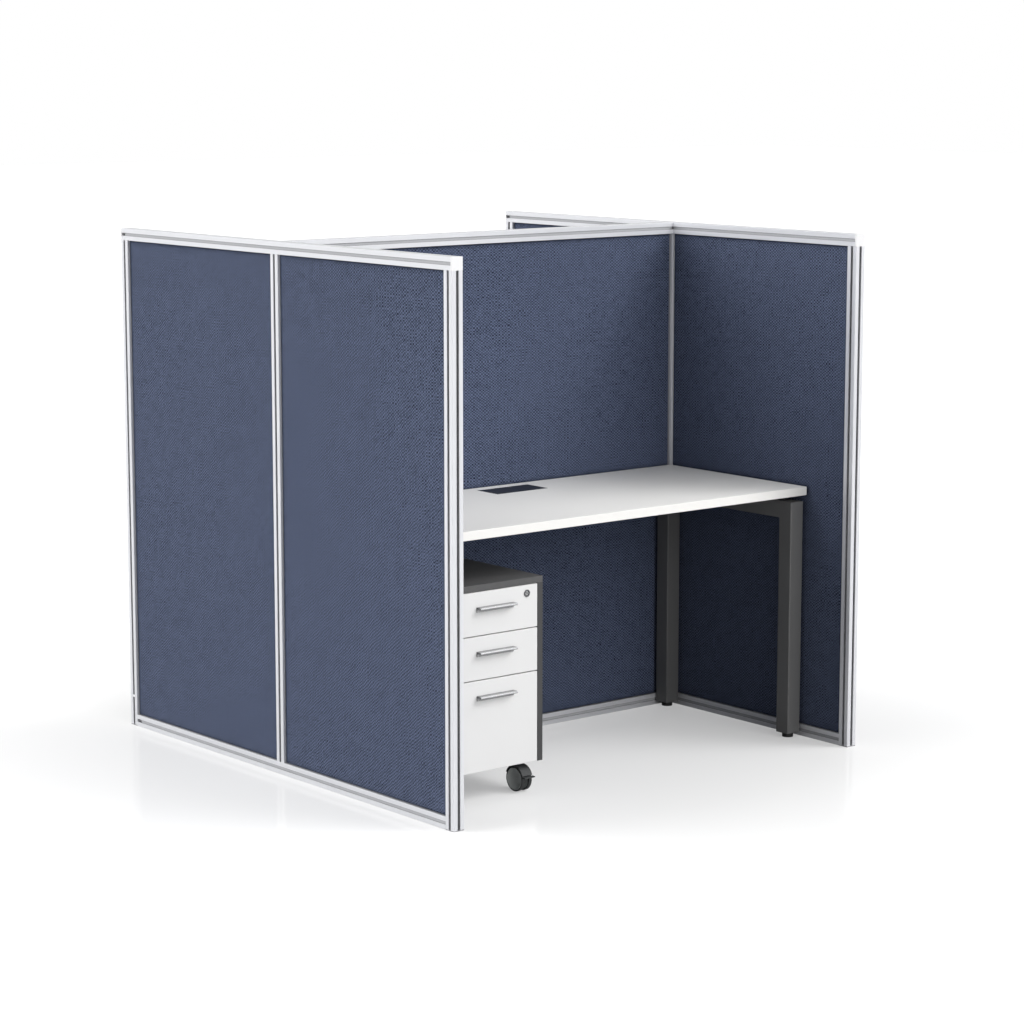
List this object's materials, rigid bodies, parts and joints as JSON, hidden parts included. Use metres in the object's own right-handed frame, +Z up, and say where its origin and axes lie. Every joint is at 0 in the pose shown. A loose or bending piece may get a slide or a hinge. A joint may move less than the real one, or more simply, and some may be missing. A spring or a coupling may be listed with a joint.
{
  "type": "cubicle workstation",
  "caption": "Fabric screens in slotted frames form an H around two white desks on square leg frames, with a mobile drawer pedestal.",
  "frame": {"origin": "on the floor at the middle of the spine screen", "axes": "+X along the spine to the right wing, +Y to the far desk, +Z up; the user of the near desk faces +Y"},
  "size_m": [1.5, 1.585, 1.5],
  "materials": {
    "frame_silver": "satin silver anodised",
    "panel_fabric": "woven navy upholstery fabric",
    "stile_grey": "satin grey",
    "infill_grey": "satin light grey",
    "cap_white": "satin white",
    "base_cap_grey": "matte grey",
    "zinc_steel": "zinc plated",
    "worktop_white": "white melamine on board",
    "leg_charcoal": "satin charcoal powder coat",
    "black_plastic": "matte black",
    "port_navy": "matte dark navy",
    "case_charcoal": "charcoal melamine on board",
    "front_white": "white melamine on board",
    "box_grey": "satin grey paint",
    "satin_metal": "satin chrome",
    "caster_black": "moulded dark grey",
    "wheel_grey": "moulded grey with dark tread"
  },
  "bodies": {
    "root": {"left_front_post": "frame_silver", "left_middle_post": "frame_silver", "left_rear_post": "frame_silver", "right_front_post": "frame_silver", "right_middle_post": "frame_silver", "right_rear_post": "frame_silver", "left_top_rail": "frame_silver", "right_top_rail": "frame_silver", "wing_bottom_rails": "frame_silver", "left_front_panel": "panel_fabric", "left_rear_panel": "panel_fabric", "right_front_panel": "panel_fabric", "right_rear_panel": "panel_fabric", "centre_top_rail": "frame_silver", "centre_bottom_rail": "frame_silver", "centre_panel": "panel_fabric", "centre_end_stiles": "stile_grey", "rail_infill_strips": "infill_grey", "rail_end_caps": "cap_white", "post_base_caps": "base_cap_grey", "post_top_dowels": "zinc_steel", "near_worktop": "worktop_white", "near_leg_frames": "leg_charcoal", "far_worktop": "worktop_white", "far_leg_frames": "leg_charcoal", "desk_crossbeams": "leg_charcoal", "worktop_spacers": "black_plastic", "worktop_screws": "zinc_steel", "levelling_feet": "black_plastic", "desk_brackets": "leg_charcoal", "cable_port_frames": "port_navy"},
    "pedestal": {"pedestal_top": "case_charcoal", "pedestal_sides": "case_charcoal", "pedestal_base": "case_charcoal", "pedestal_back": "case_charcoal", "case_runners": "zinc_steel", "lock_strike": "zinc_steel", "caster_plates": "zinc_steel"},
    "drawer_1": {"drawer_1_front": "front_white", "drawer_1_box": "box_grey", "drawer_1_pull": "satin_metal"},
    "drawer_2": {"drawer_2_front": "front_white", "drawer_2_box": "box_grey", "drawer_2_pull": "satin_metal"},
    "drawer_3": {"drawer_3_front": "front_white", "drawer_3_box": "box_grey", "drawer_3_pull": "satin_metal"},
    "lock": {"lock_barrel": "satin_metal"},
    "caster_front_left": {"caster_front_left_housing": "caster_black"},
    "wheels_front_left": {"caster_front_left_wheels": "wheel_grey"},
    "caster_front_right": {"caster_front_right_housing": "caster_black"},
    "wheels_front_right": {"caster_front_right_wheels": "wheel_grey"},
    "caster_rear_left": {"caster_rear_left_housing": "caster_black"},
    "wheels_rear_left": {"caster_rear_left_wheels": "wheel_grey"},
    "caster_rear_right": {"caster_rear_right_housing": "caster_black"},
    "wheels_rear_right": {"caster_rear_right_wheels": "wheel_grey"},
    "brake_front_left": {"caster_front_left_brake": "caster_black"},
    "brake_front_right": {"caster_front_right_brake": "caster_black"},
    "near_flap": {"near_cable_flap": "port_navy"},
    "far_flap": {"far_cable_flap": "port_navy"}
  },
  "joints": [
    {"name": "pedestal_roll", "type": "slide", "parent": "root", "child": "pedestal", "axis": [0, -1, 0], "range_m": [0, 0.6]},
    {"name": "drawer_1_slide", "type": "slide", "parent": "pedestal", "child": "drawer_1", "axis": [0, -1, 0], "range_m": [0, 0.36]},
    {"name": "drawer_2_slide", "type": "slide", "parent": "pedestal", "child": "drawer_2", "axis": [0, -1, 0], "range_m": [0, 0.36]},
    {"name": "drawer_3_slide", "type": "slide", "parent": "pedestal", "child": "drawer_3", "axis": [0, -1, 0], "range_m": [0, 0.38]},
    {"name": "lock_turn", "type": "hinge", "parent": "drawer_1", "child": "lock", "pos_m": [-0.344, -0.6, 0.5585], "axis": [0, 1, 0], "range_deg": [0, 90]},
    {"name": "caster_front_left_swivel", "type": "hinge", "parent": "pedestal", "child": "caster_front_left", "pos_m": [-0.5675, -0.544, 0.035], "axis": [0, 0, 1], "continuous": true},
    {"name": "wheels_front_left_spin", "type": "hinge", "parent": "caster_front_left", "child": "wheels_front_left", "pos_m": [-0.5675, -0.522, 0.035], "axis": [1, 0, 0], "continuous": true},
    {"name": "caster_front_right_swivel", "type": "hinge", "parent": "pedestal", "child": "caster_front_right", "pos_m": [-0.3435, -0.544, 0.035], "axis": [0, 0, 1], "continuous": true},
    {"name": "wheels_front_right_spin", "type": "hinge", "parent": "caster_front_right", "child": "wheels_front_right", "pos_m": [-0.3435, -0.566, 0.035], "axis": [1, 0, 0], "continuous": true},
    {"name": "caster_rear_left_swivel", "type": "hinge", "parent": "pedestal", "child": "caster_rear_left", "pos_m": [-0.5675, -0.136, 0.035], "axis": [0, 0, 1], "continuous": true},
    {"name": "wheels_rear_left_spin", "type": "hinge", "parent": "caster_rear_left", "child": "wheels_rear_left", "pos_m": [-0.5675, -0.158, 0.035], "axis": [1, 0, 0], "continuous": true},
    {"name": "caster_rear_right_swivel", "type": "hinge", "parent": "pedestal", "child": "caster_rear_right", "pos_m": [-0.3435, -0.136, 0.035], "axis": [0, 0, 1], "continuous": true},
    {"name": "wheels_rear_right_spin", "type": "hinge", "parent": "caster_rear_right", "child": "wheels_rear_right", "pos_m": [-0.3435, -0.158, 0.035], "axis": [1, 0, 0], "continuous": true},
    {"name": "brake_front_left_press", "type": "hinge", "parent": "caster_front_left", "child": "brake_front_left", "pos_m": [-0.5675, -0.498, 0.045], "axis": [-1, 0, 0], "range_deg": [0, 20]},
    {"name": "brake_front_right_press", "type": "hinge", "parent": "caster_front_right", "child": "brake_front_right", "pos_m": [-0.3435, -0.59, 0.045], "axis": [1, 0, 0], "range_deg": [0, 20]},
    {"name": "near_flap_hinge", "type": "hinge", "parent": "root", "child": "near_flap", "pos_m": [0.012, -0.0661, 0.75075], "axis": [-1, 0, 0], "range_deg": [0, 100]},
    {"name": "far_flap_hinge", "type": "hinge", "parent": "root", "child": "far_flap", "pos_m": [-0.012, 0.0661, 0.75075], "axis": [1, 0, 0], "range_deg": [0, 100]}
  ]
}
